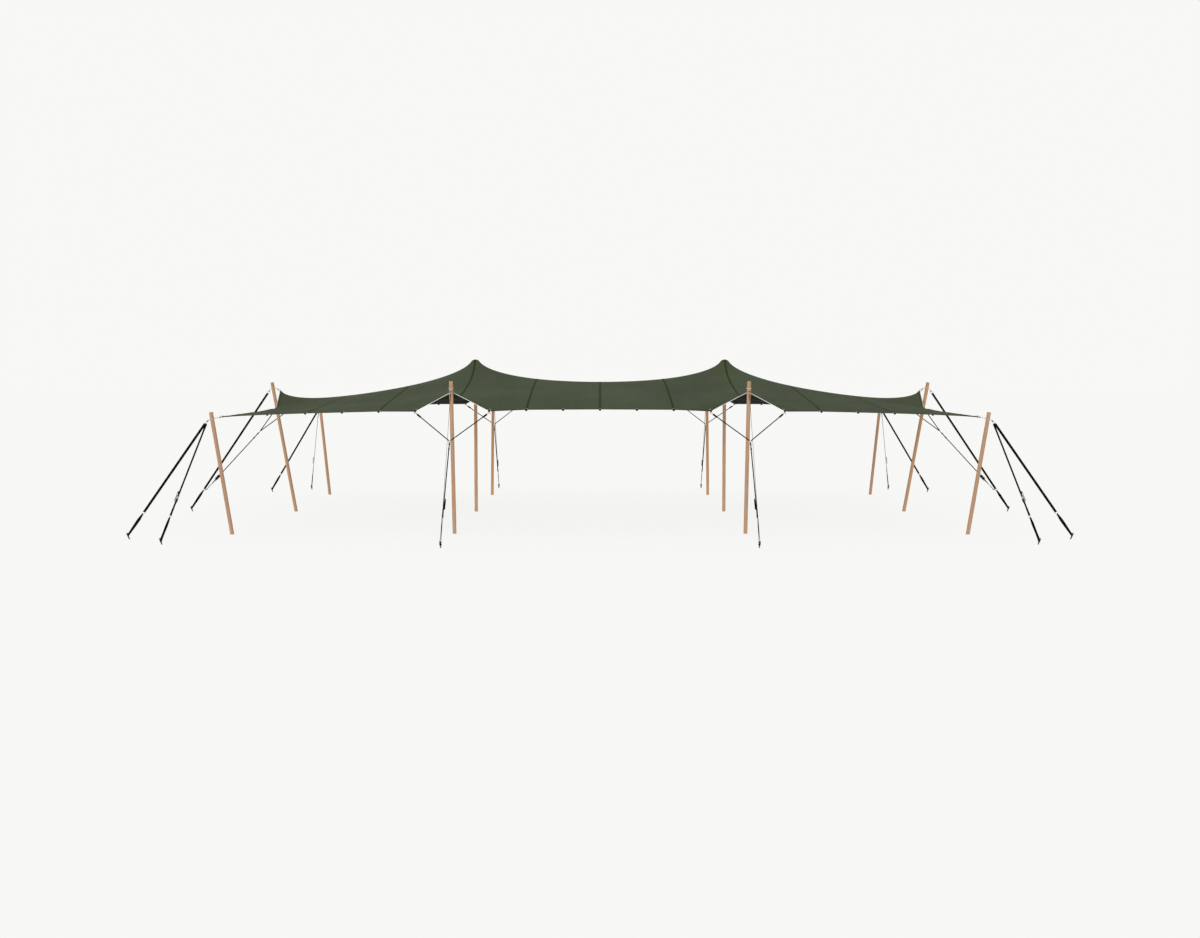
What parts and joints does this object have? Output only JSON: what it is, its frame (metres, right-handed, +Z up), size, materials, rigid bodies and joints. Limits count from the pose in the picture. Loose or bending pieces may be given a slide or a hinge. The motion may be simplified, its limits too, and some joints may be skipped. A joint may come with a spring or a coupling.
{
  "type": "stretch tent",
  "caption": "Freeform stretch tent: one tensioned olive sheet with two peaks, on leaning timber edge poles and upright centre poles, held by ropes, webbing guys, bridles and stakes.",
  "frame": {"origin": "on the ground at the centre of the tent's plan", "axes": "+X to the right along the 15 m side, -Y to the front that the picture shows, +Z up"},
  "size_m": [19.874, 15.314, 3.6744],
  "materials": {
    "canopy_cloth": "matt olive stretch cloth, near black underneath",
    "pole_timber": "round timber, oiled",
    "pole_head_rubber": "matt moulded rubber",
    "guy_webbing": "woven black webbing with zinc plated rings and ratchets",
    "bridle_rope": "dark grey braided rope with black webbing",
    "stake_steel": "dark forged steel"
  },
  "bodies": {
    "root": {"canopy": "canopy_cloth", "corner_pole_front_left": "pole_timber", "edge_pole_front_left": "pole_timber", "corner_guys_front_left": "guy_webbing", "edge_guy_front_left": "guy_webbing", "edge_bridle_front_left": "bridle_rope", "corner_stake_outer_front_left": "stake_steel", "corner_stake_inner_front_left": "stake_steel", "edge_stake_front_left": "stake_steel", "corner_pole_back_left": "pole_timber", "edge_pole_back_left": "pole_timber", "corner_guys_back_left": "guy_webbing", "edge_guy_back_left": "guy_webbing", "edge_bridle_back_left": "bridle_rope", "corner_stake_outer_back_left": "stake_steel", "corner_stake_inner_back_left": "stake_steel", "edge_stake_back_left": "stake_steel", "side_pole_left": "pole_timber", "centre_pole_left": "pole_timber", "pole_head_left": "pole_head_rubber", "side_guy_left": "guy_webbing", "side_bridle_left": "bridle_rope", "side_stake_left": "stake_steel", "corner_pole_front_right": "pole_timber", "edge_pole_front_right": "pole_timber", "corner_guys_front_right": "guy_webbing", "edge_guy_front_right": "guy_webbing", "edge_bridle_front_right": "bridle_rope", "corner_stake_outer_front_right": "stake_steel", "corner_stake_inner_front_right": "stake_steel", "edge_stake_front_right": "stake_steel", "corner_pole_back_right": "pole_timber", "edge_pole_back_right": "pole_timber", "corner_guys_back_right": "guy_webbing", "edge_guy_back_right": "guy_webbing", "edge_bridle_back_right": "bridle_rope", "corner_stake_outer_back_right": "stake_steel", "corner_stake_inner_back_right": "stake_steel", "edge_stake_back_right": "stake_steel", "side_pole_right": "pole_timber", "centre_pole_right": "pole_timber", "pole_head_right": "pole_head_rubber", "side_guy_right": "guy_webbing", "side_bridle_right": "bridle_rope", "side_stake_right": "stake_steel"}
  },
  "joints": []
}
